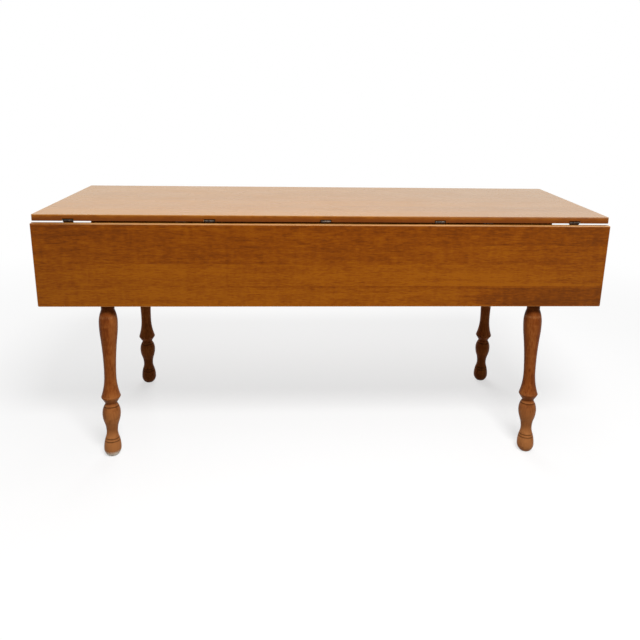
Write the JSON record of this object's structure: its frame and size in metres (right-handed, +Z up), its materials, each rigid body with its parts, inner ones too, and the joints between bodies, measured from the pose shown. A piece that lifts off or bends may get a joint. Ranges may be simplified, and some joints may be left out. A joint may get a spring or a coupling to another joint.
{
  "type": "drop-leaf harvest table",
  "caption": "Long narrow maple table on raked turned legs, with a drop leaf hinged along each long edge and pull-out slides under the top that hold the leaves level.",
  "frame": {"origin": "on the floor under the middle of the top", "axes": "+X along the length, -Y towards the front leaf in the picture, +Z up"},
  "size_m": [1.6764, 0.5842, 0.762],
  "materials": {
    "panel_maple": "honey-brown satin lacquer",
    "turned_maple": "honey-brown satin lacquer",
    "apron_maple": "honey-brown satin lacquer",
    "inner_wood": "bare planed wood",
    "hinge_steel": "dulled plated steel",
    "slide_steel": "plain flat bar",
    "screw_steel": "dulled plated steel"
  },
  "bodies": {
    "frame": {"apron_front": "apron_maple", "apron_left": "apron_maple", "apron_rear": "apron_maple", "apron_right": "apron_maple", "corner_block_front_left": "inner_wood", "corner_block_front_right": "inner_wood", "corner_block_rear_left": "inner_wood", "corner_block_rear_right": "inner_wood", "corner_block_screws": "screw_steel", "cross_rail_left": "inner_wood", "cross_rail_right": "inner_wood", "cross_rail_screws": "screw_steel", "guide_screws": "screw_steel", "hinge_pins_front": "hinge_steel", "hinge_pins_rear": "hinge_steel", "hinge_top_plate_front_1": "hinge_steel", "hinge_top_plate_front_2": "hinge_steel", "hinge_top_plate_front_3": "hinge_steel", "hinge_top_plate_front_4": "hinge_steel", "hinge_top_plate_front_5": "hinge_steel", "hinge_top_plate_rear_1": "hinge_steel", "hinge_top_plate_rear_2": "hinge_steel", "hinge_top_plate_rear_3": "hinge_steel", "hinge_top_plate_rear_4": "hinge_steel", "hinge_top_plate_rear_5": "hinge_steel", "hinge_top_screws_front": "screw_steel", "hinge_top_screws_rear": "screw_steel", "leg_front_left": "turned_maple", "leg_front_right": "turned_maple", "leg_rear_left": "turned_maple", "leg_rear_right": "turned_maple", "slide_guide_front_left": "inner_wood", "slide_guide_front_right": "inner_wood", "slide_guide_rear_left": "inner_wood", "slide_guide_rear_right": "inner_wood", "table_top": "panel_maple"},
    "front_leaf": {"front_leaf": "panel_maple", "hinge_leaf_plate_front_1": "hinge_steel", "hinge_leaf_plate_front_2": "hinge_steel", "hinge_leaf_plate_front_3": "hinge_steel", "hinge_leaf_plate_front_4": "hinge_steel", "hinge_leaf_plate_front_5": "hinge_steel", "hinge_leaf_screws_front": "screw_steel"},
    "rear_leaf": {"hinge_leaf_plate_rear_1": "hinge_steel", "hinge_leaf_plate_rear_2": "hinge_steel", "hinge_leaf_plate_rear_3": "hinge_steel", "hinge_leaf_plate_rear_4": "hinge_steel", "hinge_leaf_plate_rear_5": "hinge_steel", "hinge_leaf_screws_rear": "screw_steel", "rear_leaf": "panel_maple"},
    "slide_front_left": {"leaf_slide_front_left": "slide_steel", "slide_peg_front_left": "slide_steel"},
    "slide_front_right": {"leaf_slide_front_right": "slide_steel", "slide_peg_front_right": "slide_steel"},
    "slide_rear_left": {"leaf_slide_rear_left": "slide_steel", "slide_peg_rear_left": "slide_steel"},
    "slide_rear_right": {"leaf_slide_rear_right": "slide_steel", "slide_peg_rear_right": "slide_steel"}
  },
  "joints": [
    {"name": "front_leaf_hinge", "type": "hinge", "parent": "frame", "child": "front_leaf", "pos_m": [0, -0.2746, 0.744], "axis": [-1, 0, 0], "range_deg": [0, 93.6]},
    {"name": "front_left_slide", "type": "slide", "parent": "frame", "child": "slide_front_left", "axis": [0, -1, 0], "range_m": [0, 0.18]},
    {"name": "front_right_slide", "type": "slide", "parent": "frame", "child": "slide_front_right", "axis": [0, -1, 0], "range_m": [0, 0.18]},
    {"name": "rear_leaf_hinge", "type": "hinge", "parent": "frame", "child": "rear_leaf", "pos_m": [0, 0.2746, 0.744], "axis": [1, 0, 0], "range_deg": [0, 93.6]},
    {"name": "rear_left_slide", "type": "slide", "parent": "frame", "child": "slide_rear_left", "axis": [0, 1, 0], "range_m": [0, 0.18]},
    {"name": "rear_right_slide", "type": "slide", "parent": "frame", "child": "slide_rear_right", "axis": [0, 1, 0], "range_m": [0, 0.18]}
  ]
}
